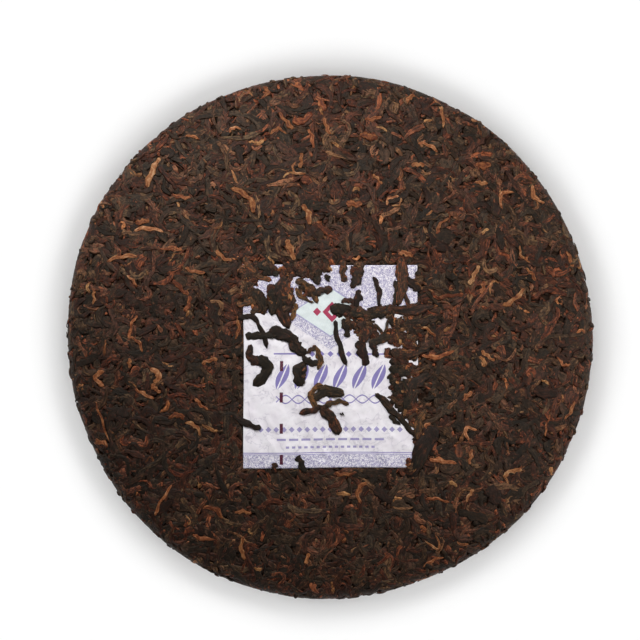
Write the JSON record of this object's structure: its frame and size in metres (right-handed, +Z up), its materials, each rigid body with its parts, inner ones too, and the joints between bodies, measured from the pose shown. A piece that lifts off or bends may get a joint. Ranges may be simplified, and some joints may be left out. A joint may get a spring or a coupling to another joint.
{
  "type": "pu erh tea cake",
  "caption": "Round cake of pressed dark tea leaves, domed above and flat below with a knot dimple, with a paper ticket pressed into its top.",
  "frame": {"origin": "middle of the flat face that the cake lies on", "axes": "+Z up through the dome that carries the ticket, +Y towards the ticket's top edge, +X to the ticket's right"},
  "size_m": [0.1985, 0.1978, 0.0239],
  "materials": {
    "tea": "rough, dark brown pressed leaf with a dull satin haze",
    "paper": "thin matt white paper printed in lilac"
  },
  "bodies": {
    "root": {"cake": "tea", "ticket": "paper", "left_leaf_group": "tea", "middle_leaf_group": "tea"}
  },
  "joints": []
}
